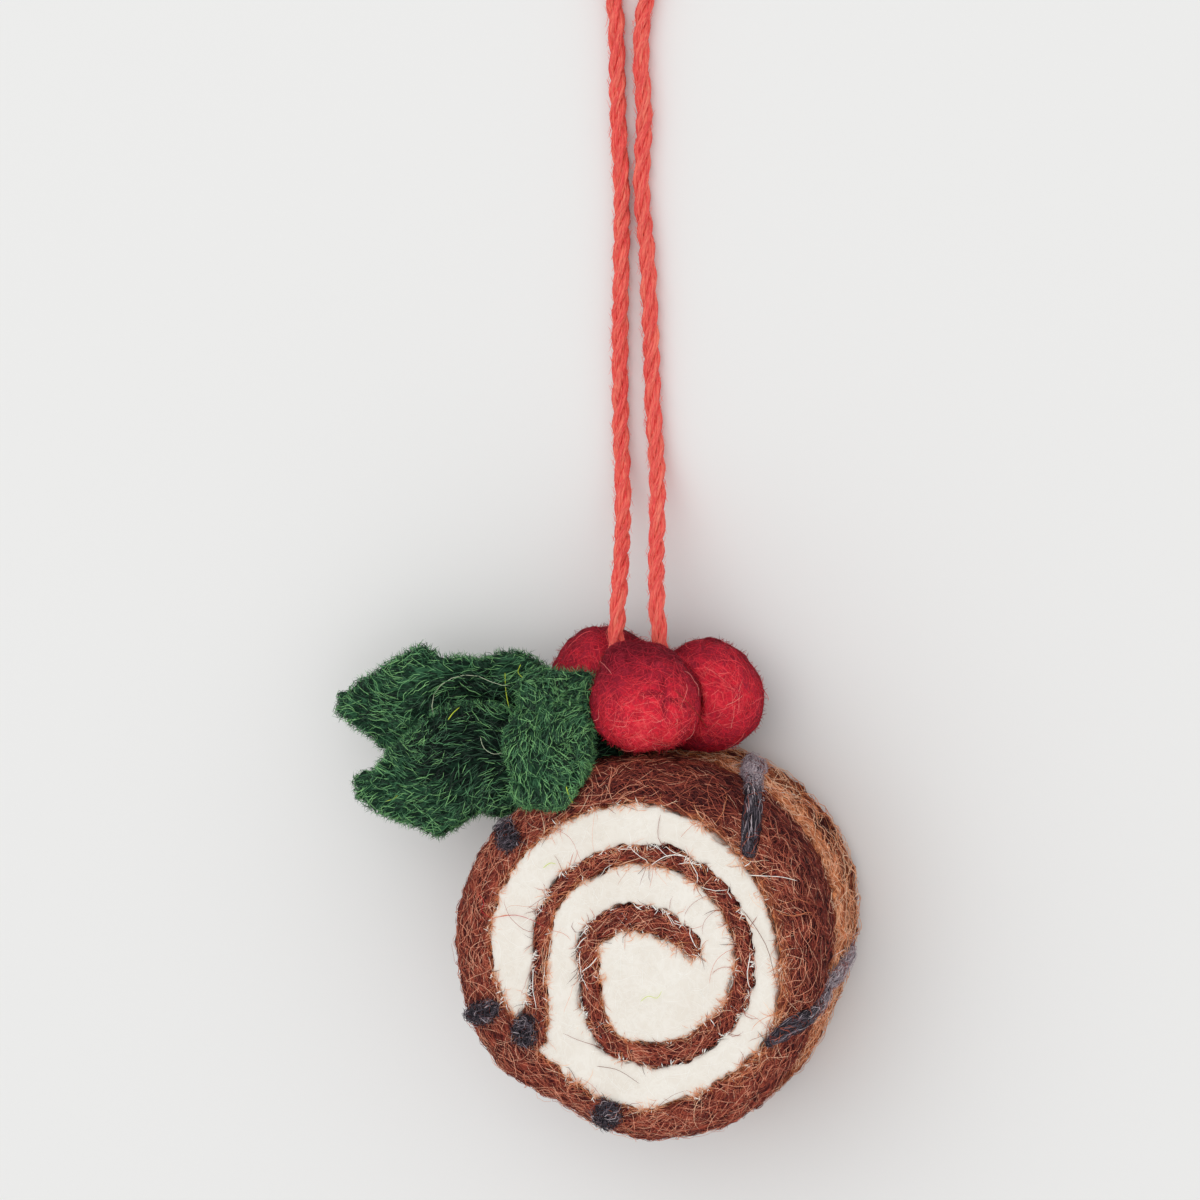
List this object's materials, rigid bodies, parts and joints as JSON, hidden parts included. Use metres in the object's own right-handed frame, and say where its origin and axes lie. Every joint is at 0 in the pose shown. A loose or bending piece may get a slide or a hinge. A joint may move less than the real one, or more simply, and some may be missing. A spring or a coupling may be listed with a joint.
{
  "type": "felt yule log cake ornament",
  "caption": "Hanging ornament of needle-felted wool: a thick slice of cream-filled chocolate roll topped with red berries and holly leaves, with a looped cord.",
  "frame": {"origin": "middle of the flat back face of the slice, on the cream, where the ornament lies", "axes": "+Z out of the spiral face, +Y towards the berries and the cord, +X to the right of the spiral face"},
  "size_m": [0.0807, 0.1933, 0.0309],
  "materials": {
    "sponge_felt": "brown needle-felted wool with dark and ginger fibres",
    "cream_felt": "off-white needle-felted wool",
    "berry_felt": "crimson needle-felted wool",
    "holly_felt": "dark green felt with loose lighter fibres",
    "bark_wool": "slate grey wool strands",
    "cord_yarn": "coral red twisted yarn"
  },
  "bodies": {
    "root": {"sponge_roll": "sponge_felt", "cream_filling": "cream_felt", "berry_front": "berry_felt", "berry_right": "berry_felt", "berry_rear": "berry_felt", "leaf_upper": "holly_felt", "leaf_lower": "holly_felt", "leaf_front": "holly_felt", "bark_top": "bark_wool", "bark_right": "bark_wool", "bark_left_upper": "bark_wool", "bark_left": "bark_wool", "bark_tail": "bark_wool", "bark_bottom": "bark_wool", "hanging_cord": "cord_yarn"}
  },
  "joints": []
}
